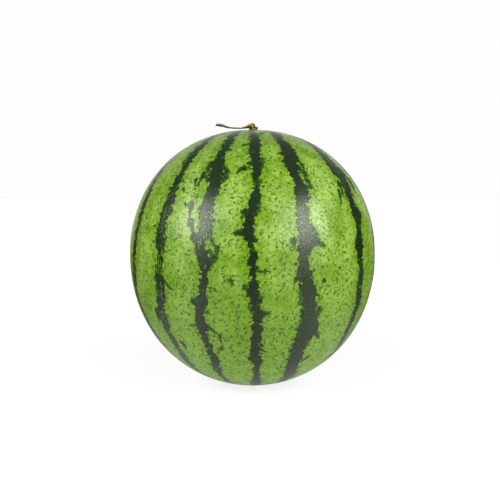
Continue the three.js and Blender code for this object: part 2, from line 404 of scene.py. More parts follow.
def cap_faces(ring_start, columns, pole, flip):
    """Triangles from a ring of vertices to one vertex at its middle."""
    here = np.arange(columns)
    beside = (here + 1) % columns
    ring = [ring_start + here, ring_start + beside]
    if flip:
        ring.reverse()
    return np.stack([np.full(columns, pole), *ring], -1)


def closed_faces(rows, columns, start, first_pole, last_pole, turned=False):
    """Faces of a grid of rings that closes on a pole at each end, all turned round if asked."""
    side = grid_faces(rows, columns) + start
    return [
        side[:, ::-1] if turned else side,
        cap_faces(start, columns, first_pole, flip=turned),
        cap_faces(start + (rows - 1) * columns, columns, last_pole, flip=not turned),
    ]


def make_mesh(name, points, faces):
    """An object at the origin from points in metres and faces, smooth shaded."""
    mesh = bpy.data.meshes.new(name)
    mesh.from_pydata(points.tolist(), [], [face for group in faces for face in group.tolist()])
    mesh.validate()
    mesh.shade_smooth()
    made = bpy.data.objects.new(name, mesh)
    bpy.context.scene.collection.objects.link(made)
    return made


def give_attribute(made, name, values):
    """A number for each vertex, or a vector if there are three, for the material to read."""
    kind = "FLOAT_VECTOR" if values.ndim == 2 else "FLOAT"
    attribute = made.data.attributes.new(name, kind, "POINT")
    field = "vector" if values.ndim == 2 else "value"
    attribute.data.foreach_set(field, values.astype(np.float32).ravel())


def eased(places, stops, values):
    """Values at places between rising stops, joined by smooth cubic spans."""
    stops, values = np.asarray(stops, float), np.asarray(values, float)
    slopes = np.gradient(values, stops)
    span = np.clip(np.searchsorted(stops, places) - 1, 0, len(stops) - 2)
    width = stops[span + 1] - stops[span]
    t = np.clip((places - stops[span]) / width, 0, 1)
    left = (1 + 2 * t) * (1 - t) ** 2 * values[span] + t * (1 - t) ** 2 * width * slopes[span]
    right = t * t * (3 - 2 * t) * values[span + 1] + t * t * (t - 1) * width * slopes[span + 1]
    return left + right


def profile(rind, polar):
    """Radius and height of the plain profile at a polar angle from the stem end.

    The distance from the equator's centre is that of a squared-off ellipse, whose halves have
    their own height and squareness: (|sin|/radius)^n + (|cos|/height)^n, to the power -1/n.
    """
    upper = polar < math.pi / 2
    power = np.where(upper, rind.upper_squareness, rind.lower_squareness)
    half_height = np.where(upper, rind.height_above, rind.depth_below)
    across = (np.abs(np.sin(polar)) / rind.equator_radius) ** power
    along = (np.abs(np.cos(polar)) / half_height) ** power
    distance = (across + along) ** (-1 / power)
    return distance * np.sin(polar), distance * np.cos(polar)


def lowest_polar(rind):
    """The polar angle at which the lower profile has narrowed to the resting spot."""
    polar = np.linspace(math.pi / 2, math.pi, SPOT_STEPS)
    radius, _ = profile(rind, polar)
    return float(np.interp(-rind.resting_radius, -radius, polar))


def hollow(rind, radius):
    """Depth of the stem's hollow at a radius: a bell curve."""
    return rind.hollow_depth * np.exp(-((radius / rind.hollow_spread) ** 2))


def slow_lumps(azimuth, height, seed):
    """Lumps of a few tenths of a millimetre: a seeded sum of waves that close round the fruit."""
    draw = np.random.default_rng(seed)
    lumps = np.zeros_like(azimuth)
    for _ in range(LUMP_WAVES):
        around = draw.integers(*LUMPS_AROUND)
        upward = draw.uniform(*LUMPS_UPWARD) / MM * draw.choice((-1, 1))
        phase = draw.uniform(0, TURN)
        lumps += np.cos(around * azimuth + upward * height + phase) / (LUMP_SOFTENING + around)
    return lumps


def stripe_walk(draw, azimuth):
    """Stops of a stripe at the back: a random walk round its azimuth, with random widths."""
    sway = np.cumsum(draw.normal(0, WALK_SWAY, len(WALK_HEIGHTS)))
    azimuths = azimuth + sway - sway.mean()
    widths = draw.uniform(*WALK_WIDTHS, len(WALK_HEIGHTS)) * draw.uniform(*WALK_SWELL)
    widths[[0, -1]] = WALK_END_WIDTH
    widths[[1, -2]] = WALK_NEXT_WIDTH
    return tuple(zip(WALK_HEIGHTS, azimuths.tolist(), widths.tolist()))


def all_stripes(seed):
    """Every stripe as (stops, fleck strength): the front ones as drawn, the back ones seeded."""
    draw = np.random.default_rng(seed)
    found = [(stops, FRONT_FLECKS[name]) for name, stops in FRONT_STRIPES.items()]
    spacing = (GAP_END - GAP_START) / (BACK_STRIPES + 1)
    for number in range(1, BACK_STRIPES + 1):
        azimuth = GAP_START + spacing * number + draw.uniform(*STRIPE_SHIFT)
        stops = stripe_walk(draw, azimuth)
        found.append((stops, draw.uniform(*BACK_FLECKS)))
    return found


def back_thorns(stripes, seed):
    """Thorns and islands beside the seeded stripes, like the front ones."""
    draw = np.random.default_rng(seed)
    found = []
    for stops, _ in stripes[len(FRONT_STRIPES):]:
        heights = [stop[0] for stop in stops][::-1]
        azimuths = [stop[1] for stop in stops][::-1]
        for _ in range(BACK_THORNS):
            height = draw.uniform(*THORN_HEIGHTS)
            middle = float(np.interp(height, heights, azimuths))
            side = draw.choice((-1, 1))
            attached = draw.random() < ATTACHED_SHARE
            start = middle + side * draw.uniform(*(ATTACHED_START if attached else ISLAND_START))
            end = start + side * draw.uniform(*(ATTACHED_REACH if attached else ISLAND_REACH))
            tilt = draw.uniform(*THORN_TILT)
            found.append((height, start, height + tilt, end, draw.uniform(*THORN_WIDTHS)))
    return found


def stripe_distance(azimuth, height, radius, stripes):
    """Millimetres inside the edge of the nearest stripe, negative outside, and its fleck strength.

    For each stripe this is its half-width less the way round from its middle line.
    """
    inside = np.full(azimuth.shape, FAR_OUTSIDE)
    flecks = np.zeros(azimuth.shape)
    for stops, strength in stripes:
        heights, azimuths, widths = np.array(stops[::-1], float).T
        middle = FRONT + np.radians(eased(height / MM, heights, azimuths))
        aside = (azimuth - middle + math.pi) % TURN - math.pi
        depth = eased(height / MM, heights, widths) - np.abs(aside) * radius / MM
        flecks = np.where(depth > inside, strength, flecks)
        inside = np.maximum(inside, depth)
    return inside, flecks


def thorn_distance(azimuth, height, radius, thorns):
    """Millimetres inside the nearest thorn, negative outside.

    A thorn is a straight line on the rind, laid flat: its half-width, which tapers towards the tip,
    less the way to the nearest place on the line.
    """
    inside = np.full(azimuth.shape, FAR_OUTSIDE)
    for foot_height, foot_azimuth, tip_height, tip_azimuth, half_width in thorns:
        turned = (azimuth - FRONT - math.radians(foot_azimuth) + math.pi) % TURN - math.pi
        upright = np.sqrt(np.maximum(1 - ((height / MM - SIDE_MIDDLE) / SIDE_HALF) ** 2, LEAST_UPRIGHT))
        aside = turned * radius / MM
        up = (height / MM - foot_height) / upright
        tip_aside = math.radians(tip_azimuth - foot_azimuth) * radius / MM
        tip_up = (tip_height - foot_height) / upright
        share = (aside * tip_aside + up * tip_up) / (tip_aside ** 2 + tip_up ** 2 + TINY)
        share = np.clip(share, 0, 1)
        away = np.hypot(aside - share * tip_aside, up - share * tip_up)
        depth = half_width * (1 - THORN_TAPER * share) - away
        inside = np.where(np.abs(turned) < THORN_SIGHT, np.maximum(inside, depth), inside)
    return inside


def rind_points(rind, rows, columns):
    """The rind as a profile carried round, its two poles, and each point's azimuth and radius.

    Evenly spaced rows go down the side. Its radius is the profile's plus the lobes, ribs and slow
    lumps, which fade with the square of the sine of the polar angle, and its height is the profile's
    less the hollow. Then come the flat ring and the dent of the blossom scar, whose depth is
    (1 - share^2)^roundness less a button that is a steep bell curve.
    """
    polar = np.linspace(FIRST_POLAR, lowest_polar(rind), PROFILE_STEPS)
    radius, height = profile(rind, polar)
    travelled = np.concatenate([[0], np.cumsum(np.hypot(np.diff(radius), np.diff(height)))])
    polar = np.interp(np.linspace(0, travelled[-1], rows), travelled, polar)
    radius, height = profile(rind, polar)
    equator_height = -height[-1]
    height = height + equator_height - np.where(polar < math.pi / 2, hollow(rind, radius), 0)

    azimuth = np.linspace(0, TURN, columns, endpoint=False)[None, :]
    fade = np.sin(polar)[:, None] ** 2
    lobes = LOBE_HEIGHT * np.cos(LOBES * (azimuth - LOBE_TURN))
    ribs = RIB_HEIGHT * np.cos(RIBS * (azimuth - FRONT))
    lumps = slow_lumps(azimuth + 0 * fade, height[:, None] + 0 * azimuth, rind.seed)
    lumps = LUMP_HEIGHT * lumps + LUMP_LEVEL
    lifted = radius[:, None] + fade * (lobes + ribs + lumps) * MM

    share = np.linspace(1, DENT_INNERMOST, DENT_ROWS)
    button = BUTTON_HEIGHT * np.exp(-((share / BUTTON_SPREAD) ** 4))
    dent = rind.scar_depth * (1 - share ** 2) ** DENT_ROUNDNESS - button
    ring = np.array(RING_SHARES) * rind.resting_radius
    ring_radius = np.concatenate([ring, share * rind.scar_radius])
    ring_height = np.concatenate([0 * ring, dent * (share < 1)])

    radii = np.concatenate([lifted, ring_radius[:, None] + 0 * azimuth])
    heights = np.concatenate([height, ring_height])[:, None] + 0 * azimuth
    azimuths = azimuth + 0 * radii
    grid = np.stack([radii * np.cos(azimuths), radii * np.sin(azimuths), heights], -1)
    poles = np.array([[0, 0, height[0]], [0, 0, ring_height[-1]]])
    return grid, poles, azimuths, radii


def hollow_floor():
    """Height of the middle of the stem's hollow."""
    rind = bpy.context.scene.melon_rind
    _, lowest = profile(rind, np.array([lowest_polar(rind)]))
    return float(-lowest[0]) + rind.height_above - rind.hollow_depth


def tube_points(stops, rows, columns, shape):
    """A tube carried along a smooth line through the stops.

    The line is a Catmull-Rom curve, and the radius runs evenly between the stops. Each ring stands
    square to the line, and shape(angle, share) scales its radius.
    """
    stops = np.array(stops, float) * MM
    share = np.linspace(0, 1, rows)
    spans = len(stops) - 1
    span = np.minimum((share * spans).astype(int), spans - 1)
    t = (share * spans - span)[:, None]
    padded = np.concatenate([[2 * stops[0] - stops[1]], stops, [2 * stops[-1] - stops[-2]]])
    p0, p1, p2, p3 = (padded[span + step][:, :3] for step in range(4))
    line = 0.5 * (2 * p1 + (p2 - p0) * t + (2 * p0 - 5 * p1 + 4 * p2 - p3) * t ** 2
                  + (3 * p1 - p0 - 3 * p2 + p3) * t ** 3)
    radius = stops[span, 3] + (stops[span + 1, 3] - stops[span, 3]) * t[:, 0]
    along = np.gradient(line, axis=0)
    along /= np.linalg.norm(along, axis=1, keepdims=True)
    ahead = np.cross([0.0, 1.0, 0.0], along)
    ahead /= np.linalg.norm(ahead, axis=1, keepdims=True)
    aside = np.cross(along, ahead)
    angle = np.linspace(0, TURN, columns, endpoint=False)[None, :]
    reach = radius[:, None] * shape(angle, share[:, None])
    points = (line[:, None, :] + (reach * np.cos(angle))[..., None] * ahead[:, None, :]
              + (reach * np.sin(angle))[..., None] * aside[:, None, :])
    travelled = np.concatenate([[0], np.cumsum(np.linalg.norm(np.diff(line, axis=0), axis=1))])
    return points, line, travelled, angle


class Graph:
    """Short words for adding nodes to a tree and wiring them."""

    def __init__(self, tree):
        self.tree = tree

    def node(self, kind, inputs=(), **settings):
        """A new node, with its settings and the values or sockets of its inputs."""
        made = self.tree.nodes.new(kind)
        for name, value in settings.items():
            setattr(made, name, value)
        for name, value in dict(inputs).items():
            self.feed(made.inputs[name], value)
        return made

    def feed(self, socket, value):
        """Link another node's socket to this one, or set it to a plain value."""
        if isinstance(value, bpy.types.NodeSocket):
            self.tree.links.new(value, socket)
        else:
            socket.default_value = value

    def attribute(self, name, output="Fac"):
        """One of the piece's own fields."""
        return self.node("ShaderNodeAttribute", attribute_name=name).outputs[output]

    def math(self, operation, first, second=0.0, third=0.0):
        """A sum of up to three numbers."""
        made = self.node("ShaderNodeMath", operation=operation)
        for socket, value in zip(made.inputs, (first, second, third)):
            self.feed(socket, value)
        return made.outputs[0]

    def added(self, value, other, share):
        """The value plus a share of another."""
        return self.math("MULTIPLY_ADD", other, share, value)

    def swayed(self, value, noise, reach):
        """The value moved up and down by noise, by up to half of reach."""
        return self.added(value, self.math("SUBTRACT", noise, 0.5), reach)

    def ramp(self, value, low, high, to_low=0.0, to_high=1.0, smooth=True):
        """The value carried from between low and high to between two others, and held there."""
        kind = "SMOOTHSTEP" if smooth else "LINEAR"
        made = self.node("ShaderNodeMapRange", interpolation_type=kind, inputs={
            "Value": value, "From Min": low, "From Max": high, "To Min": to_low, "To Max": to_high})
        return made.outputs[0]

    def mix(self, share, first, second):
        """The first colour with a share of the second, by the Mix node's own colour sockets."""
        made = self.node("ShaderNodeMix", data_type="RGBA")
        for socket, value in ((made.inputs[0], share), (made.inputs[6], first), (made.inputs[7], second)):
            self.feed(socket, value)
        return made.outputs[2]

    def vector(self, operation, first, second=(0.0, 0.0, 0.0), output="Vector"):
        """A sum of two vectors."""
        made = self.node("ShaderNodeVectorMath", operation=operation)
        self.feed(made.inputs[0], first)
        self.feed(made.inputs[1], second)
        return made.outputs[output]

    def channel(self, tint, number):
        """The red, green or blue of a colour."""
        return self.node("ShaderNodeSeparateColor", inputs={"Color": tint}).outputs[number]

    def stretched(self, place, scale):
        """The place with each of its parts scaled."""
        return self.node("ShaderNodeMapping", inputs={"Vector": place, "Scale": scale}).outputs[0]

    def warped(self, place, size, reach):
        """The place pushed about by noise, by up to half of reach."""
        push = self.node("ShaderNodeTexNoise", inputs={"Vector": place, "Scale": 1 / size, "Detail": 2.0})
        away = self.vector("SUBTRACT", push.outputs["Color"], (0.5, 0.5, 0.5))
        moved = self.node("ShaderNodeVectorMath", operation="MULTIPLY_ADD")
        for socket, value in zip(moved.inputs, (away, (reach, reach, reach), place)):
            self.feed(socket, value)
        return moved.outputs[0]

    def noise(self, place, size, detail=2.0, roughness=0.5):
        """Noise whose blobs are about size across, in the units of place."""
        made = self.node("ShaderNodeTexNoise", inputs={
            "Vector": place, "Scale": 1 / size, "Detail": detail, "Roughness": roughness})
        return made.outputs[0]

    def cells(self, place, size):
        """Random cells about size across: the distance from their middles, and their own colours."""
        return self.node("ShaderNodeTexVoronoi", inputs={"Vector": place, "Scale": 1 / size})

    def strokes(self, place, size, half_length, half_width, upright=False):
        """Short strokes, one to a cell: 1 on the stroke and 0 off it, and the cell's random colour.

        The way from the cell's middle to the place is laid flat on the surface. Its part along a
        random direction, or along the fruit's height, is held under half the length, and the rest
        under half the width.
        """
        soft_end, soft_side = 0.15, 0.25
        cell = self.cells(place, size)
        normal = self.node("ShaderNodeNewGeometry").outputs["Normal"]
        way = self.vector("SUBTRACT", place, cell.outputs["Position"])
        flat = self.vector("SUBTRACT", way, self.vector("PROJECT", way, normal))
        if upright:
            along = self.node("ShaderNodeSeparateXYZ", inputs={"Vector": flat}).outputs["Z"]
        else:
            drawn = self.vector("SUBTRACT", cell.outputs["Color"], (0.5, 0.5, 0.5))
            direction = self.vector("NORMALIZE", self.vector("CROSS_PRODUCT", drawn, normal))
            along = self.vector("DOT_PRODUCT", flat, direction, output="Value")
        length = self.vector("LENGTH", flat, output="Value")
        squares = self.math("SUBTRACT", self.math("POWER", length, 2.0), self.math("POWER", along, 2.0))
        across = self.math("SQRT", self.math("MAXIMUM", squares, 0.0))
        narrow = self.ramp(across, half_width * (1 + soft_side), half_width * (1 - soft_side))
        along = self.math("ABSOLUTE", along)
        short = self.ramp(along, half_length * (1 + soft_end), half_length * (1 - soft_end))
        return self.math("MULTIPLY", narrow, short), cell.outputs["Color"]


def grain_group():
    """Fine skin grain for rind and stem alike: pores and a waxy or fibrous unevenness.

    Place is in millimetres. Height is in shares of the deepest pore, and Tint runs from 0 to 1.
    """
    name = "Skin grain"
    if name in bpy.data.node_groups:
        return bpy.data.node_groups[name]
    pore_scale, pore_floor, pore_rim = 0.7, 0.1, 0.35
    grain_share, pore_share = 0.6, 0.4
    tree = bpy.data.node_groups.new(name, "ShaderNodeTree")
    tree.interface.new_socket("Place", in_out="INPUT", socket_type="NodeSocketVector")
    size = tree.interface.new_socket("Size", in_out="INPUT", socket_type="NodeSocketFloat")
    size.default_value = 1.0
    tree.interface.new_socket("Height", in_out="OUTPUT", socket_type="NodeSocketFloat")
    tree.interface.new_socket("Tint", in_out="OUTPUT", socket_type="NodeSocketFloat")
    graph = Graph(tree)
    given = tree.nodes.new("NodeGroupInput")
    place = given.outputs["Place"]
    scale = graph.math("DIVIDE", 1.0, given.outputs["Size"])
    fine = graph.node("ShaderNodeTexNoise", inputs={
        "Vector": place, "Scale": scale, "Detail": 3.0, "Roughness": 0.6}).outputs[0]
    pores = graph.node("ShaderNodeTexVoronoi", inputs={
        "Vector": place, "Scale": graph.math("MULTIPLY", scale, pore_scale)}).outputs[0]
    pits = graph.ramp(pores, pore_floor, pore_rim)
    height = graph.added(graph.math("MULTIPLY", pits, pore_share), fine, grain_share)
    made = tree.nodes.new("NodeGroupOutput")
    graph.feed(made.inputs["Height"], height)
    graph.feed(made.inputs["Tint"], fine)
    return tree


def add_grain(graph, place, size):
    """The skin grain at a place in millimetres: its height and tint."""
    grain = graph.node("ShaderNodeGroup", node_tree=grain_group())
    graph.feed(grain.inputs["Place"], place)
    grain.inputs["Size"].default_value = size
    return grain.outputs["Height"], grain.outputs["Tint"]


def new_material(name):
    """An empty material and its graph."""
    material = bpy.data.materials.new(name)
    material.use_nodes = True
    material.node_tree.nodes.clear()
    return material, Graph(material.node_tree)


def finish_material(graph, base, roughness, relief, depth, plain):
    """A Principled shader with its patterned sockets linked, a bump, and its plain sockets set."""
    bump = graph.node("ShaderNodeBump", inputs={
        "Height": relief, "Strength": BUMP_STRENGTH, "Distance": depth})
    shader = graph.node("ShaderNodeBsdfPrincipled", inputs={
        "Base Color": base, "Roughness": roughness, "Normal": bump.outputs[0], **plain})
    out = graph.node("ShaderNodeOutputMaterial")
    graph.feed(out.inputs["Surface"], shader.outputs[0])


def ragged_edge(graph, inside, place, warped, teeth, patch):
    """Millimetres inside a stripe's ragged edge.

    The smooth edge is drawn in, and then moved out and in by small and broad cells, by slow noise, by
    the fine teeth, and by the patches where the fringe is wide.
    """
    drawn_in = -3.9
    lobe_size, lobe_reach, lobe_stretch = 3.8, 5.6, (1.0, 1.0, 1.2)
    broad_size, broad_reach, broad_stretch = 7.5, 2.4, (1.0, 1.0, 0.72)
    wander_size, wander_reach = 13.0, 4.0
    tooth_reach, patch_reach = 2.8, 0.8
    lobes = graph.cells(graph.stretched(warped, lobe_stretch), lobe_size)
    broad_lobes = graph.cells(graph.stretched(warped, broad_stretch), broad_size)
    edge = graph.math("ADD", inside, drawn_in)
    edge = graph.added(edge, lobes.outputs["Distance"], lobe_reach)
    edge = graph.added(edge, broad_lobes.outputs["Distance"], broad_reach)
    edge = graph.swayed(edge, graph.noise(place, wander_size), wander_reach)
    edge = graph.swayed(edge, teeth, tooth_reach)
    return graph.added(edge, patch, patch_reach)


def ragged_spots(graph, cells, size, chance, rare, largest):
    """Millimetres inside spots that stand in the middles of some cells.

    A cell's chance between the two rare ones gives its spot's radius, up to the largest. From that
    comes off the way to the cell's middle.
    """
    none = -1.0
    radius = graph.ramp(chance, *rare, none, largest, smooth=False)
    return graph.added(radius, cells.outputs["Distance"], -size)


def islands(graph, inside, warped, teeth):
    """Millimetres inside the ragged islands and thorns, and inside their dark middles."""
    spot_size, spot_rare, spot_largest, spot_teeth = 15.0, (0.62, 1.0), 1.9, 3.6
    dot_size, dot_rare, dot_largest, dot_teeth = 6.0, (0.86, 1.1), 1.3, 2.0
    more_from, more_until, more_near_stripes = -11.0, -1.0, 0.26
    thorn_drawn_in, thorn_teeth = -0.75, 3.0
    thorn_cells, thorn_cell_reach = 2.6, 2.2
    spot_rim, thorn_rim = 0.75, 1.25

    cells = graph.cells(warped, spot_size)
    chance = graph.channel(cells.outputs["Color"], 0)
    spot = ragged_spots(graph, cells, spot_size, chance, spot_rare, spot_largest)
    spot = graph.swayed(spot, teeth, spot_teeth)

    cells = graph.cells(warped, dot_size)
    near = graph.ramp(inside, more_from, more_until, 0.0, more_near_stripes)
    chance = graph.math("ADD", graph.channel(cells.outputs["Color"], 1), near)
    dot = ragged_spots(graph, cells, dot_size, chance, dot_rare, dot_largest)
    dot = graph.swayed(dot, teeth, dot_teeth)
    spot = graph.math("MAXIMUM", spot, dot)

    thorn = graph.math("ADD", graph.attribute("thorn_inside"), thorn_drawn_in)
    thorn = graph.swayed(thorn, teeth, thorn_teeth)
    thorn = graph.added(thorn, graph.cells(warped, thorn_cells).outputs["Distance"], thorn_cell_reach)

    spot_middle = graph.math("SUBTRACT", spot, spot_rim)
    thorn_middle = graph.math("SUBTRACT", thorn, thorn_rim)
    return graph.math("MAXIMUM", spot, thorn), graph.math("MAXIMUM", spot_middle, thorn_middle)


def light_flecks(graph, place, edge):
    """A mask of upright light flecks in a stripe, in clusters and clear of its edge."""
    cluster_size, cluster_gain = 14.0, 2.6
    strength_gain, fewer = 0.6, -1.55
    bend_size, bend_reach = 3.4, 3.0
    fleck_size, half_length, half_width = 2.7, 1.9, 0.34
    edge_clear, edge_full = 0.6, 1.4
    softness = 0.1
    bent = graph.warped(place, bend_size, bend_reach)
    fleck, tint = graph.strokes(bent, fleck_size, half_length, half_width, upright=True)
    chance = graph.math("MULTIPLY_ADD", graph.attribute("stripe_flecks"), strength_gain, fewer)
    chance = graph.added(chance, graph.noise(place, cluster_size, detail=1.0), cluster_gain)
    drawn = graph.ramp(graph.math("SUBTRACT", chance, graph.channel(tint, 2)), 0.0, softness)
    fleck = graph.math("MULTIPLY", fleck, drawn)
    return graph.math("MULTIPLY", fleck, graph.ramp(edge, edge_clear, edge_full))


def ground_colour(graph, rind, inside, place, warped, grains):
    """The light green between the stripes: pale blotches and mottle, deep grain and deep strokes.

    The pale parts are strongest away from the stripes and high on the fruit. Low down the strokes go
    over to the darker green of the fringe.
    """
    light, pale, deep = tuple(rind.light), tuple(rind.pale), tuple(rind.deep)
    low_height, high_height, low_height_paleness = 60.0, 160.0, 0.25
    blotch_size, blotch_from, blotch_full = 22.0, 0.3, 0.6
    open_from, open_until, least_open = -12.0, -1.5, 0.3
    mottle_size, mottle_middle, mottle_pale, mottle_deep = 3.4, 0.50, 0.64, 0.36
    grain_from, grain_full = 0.3, 0.75
    pale_share, deep_share, grain_share = 0.25, 0.1, 0.26
    bend_size, bend_reach = 2.6, 2.4
    softness, faintest = 0.05, 0.55

    rise = graph.node("ShaderNodeSeparateXYZ", inputs={"Vector": place}).outputs["Z"]
    # Darker towards the bottom: below 160 mm the pale parts fade, to a quarter at 60 mm, and the strokes
    # turn to the fringe green
    height_paleness = graph.ramp(rise, low_height, high_height, low_height_paleness, 1.0)
    open_ground = graph.ramp(inside, open_from, open_until, 1.0, least_open)
    open_ground = graph.math("MULTIPLY", open_ground, height_paleness)
    blotches = graph.noise(place, blotch_size, detail=3.0, roughness=0.55)
    blotches = graph.ramp(blotches, blotch_from, blotch_full)
    ground = graph.mix(graph.math("MULTIPLY", blotches, open_ground), light, pale)

    mottle = graph.noise(warped, mottle_size, roughness=0.65)
    paleness = graph.ramp(mottle, mottle_middle, mottle_pale, 0.0, pale_share)
    ground = graph.mix(graph.math("MULTIPLY", paleness, height_paleness), ground, pale)
    ground = graph.mix(graph.ramp(mottle, mottle_middle, mottle_deep, 0.0, deep_share), ground, deep)
    grain = graph.ramp(grains, grain_from, grain_full, 0.0, grain_share)
    ground = graph.mix(grain, ground, deep)

    stroke_colour = graph.mix(height_paleness, tuple(rind.fringe), deep)
    for size, half_length, half_width, share, strength in RIND_STROKES:
        bent = graph.warped(place, bend_size, bend_reach)
        stroke, tint = graph.strokes(bent, size, half_length, half_width)
        drawn = graph.ramp(graph.channel(tint, 1), 1 - share, 1 - share + softness)
        shown = graph.ramp(graph.channel(tint, 0), 0.0, 1.0, faintest * strength, min(1.0, strength))
        stroke = graph.math("MULTIPLY", stroke, graph.math("MULTIPLY", drawn, shown))
        ground = graph.mix(stroke, ground, stroke_colour)
    return ground


def rind_material(rind):
    """Light green ground under jagged dark stripes, their green fringes, islands and light flecks."""
    warp_size, warp_reach, grain_cells = 5.0, 3.0, 3.1
    tooth_size, tooth_stretch = 1.7, (1.0, 1.0, 1.2)
    patch_size, patch_from, patch_full, patch_width = 15.0, 0.55, 0.7, 2.4
    green_out, green_clear, green_full = 0.4, -0.12, 0.25
    fringe_width, fringe_teeth = 0.35, 2.4
    dark_clear, dark_full = -0.45, 0.15
    streak_size, streak_stretch = 1.2, (1.0, 1.0, 0.3)
    streak_from, streak_full, streak_share = 0.48, 0.68, 0.45
    fleck_share = 0.85
    grain_size, smoothest, grain_roughness, scar_roughness = 1.3, 0.24, 0.16, 0.35
    stripe_sink, grain_rise, relief_depth = -1.2, 0.8, 0.12 * MM
    wax_size, wax_from, wax_full, wax_share = 1.1, 0.42, 0.66, 0.6
    gloss = {"IOR": 1.42, "Specular Tint": (0.9, 1.0, 0.72, 1.0), "Coat Roughness": 0.22}

    material, graph = new_material("Waxy striped rind")
    metres = graph.node("ShaderNodeTexCoord").outputs["Object"]
    place = graph.stretched(metres, (1 / MM, 1 / MM, 1 / MM))
    warped = graph.warped(place, warp_size, warp_reach)
    inside = graph.attribute("stripe_inside")
    scar = graph.attribute("blossom_scar")

    teeth = graph.noise(graph.stretched(warped, tooth_stretch), tooth_size, roughness=0.6)
    patch = graph.noise(place, patch_size, detail=1.0)
    patch = graph.ramp(patch, patch_from, patch_full, 0.0, patch_width)
    edge = ragged_edge(graph, inside, place, warped, teeth, patch)
    island, island_middle = islands(graph, inside, warped, teeth)
    green = graph.math("ADD", graph.math("MAXIMUM", edge, island), green_out)
    green = graph.ramp(green, green_clear, green_full)
    fringe = graph.swayed(graph.math("ADD", patch, fringe_width), teeth, fringe_teeth)
    core = graph.math("MAXIMUM", graph.math("SUBTRACT", edge, fringe), island_middle)
    dark = graph.ramp(core, dark_clear, dark_full)

    grains = graph.cells(warped, grain_cells).outputs["Distance"]
    base = ground_colour(graph, rind, inside, place, warped, grains)
    base = graph.mix(green, base, tuple(rind.fringe))
    base = graph.mix(dark, base, tuple(rind.stripe))
    stretched = graph.stretched(warped, streak_stretch)
    streaks = graph.noise(stretched, streak_size, detail=3.0, roughness=0.6)
    murk = graph.ramp(streaks, streak_from, streak_full, 0.0, streak_share)
    base = graph.mix(graph.math("MULTIPLY", dark, murk), base, tuple(rind.fringe))
    flecks = graph.math("MULTIPLY", light_flecks(graph, place, edge), fleck_share)
    base = graph.mix(flecks, base, tuple(rind.light))
    base = graph.mix(scar, base, tuple(rind.scar))

    grain_height, grain_tint = add_grain(graph, place, grain_size)
    roughness = graph.math("MULTIPLY_ADD", grain_tint, grain_roughness, smoothest)
    roughness = graph.added(roughness, scar, scar_roughness)
    relief = graph.added(graph.math("MULTIPLY", grains, grain_rise), dark, stripe_sink)
    relief = graph.math("ADD", relief, grain_height)
    wax = graph.noise(place, wax_size, detail=1.0)
    wax = graph.ramp(wax, wax_from, wax_full, 0.0, wax_share)
    finish_material(graph, base, roughness, relief, relief_depth, {**gloss, "Coat Weight": wax})
    return material


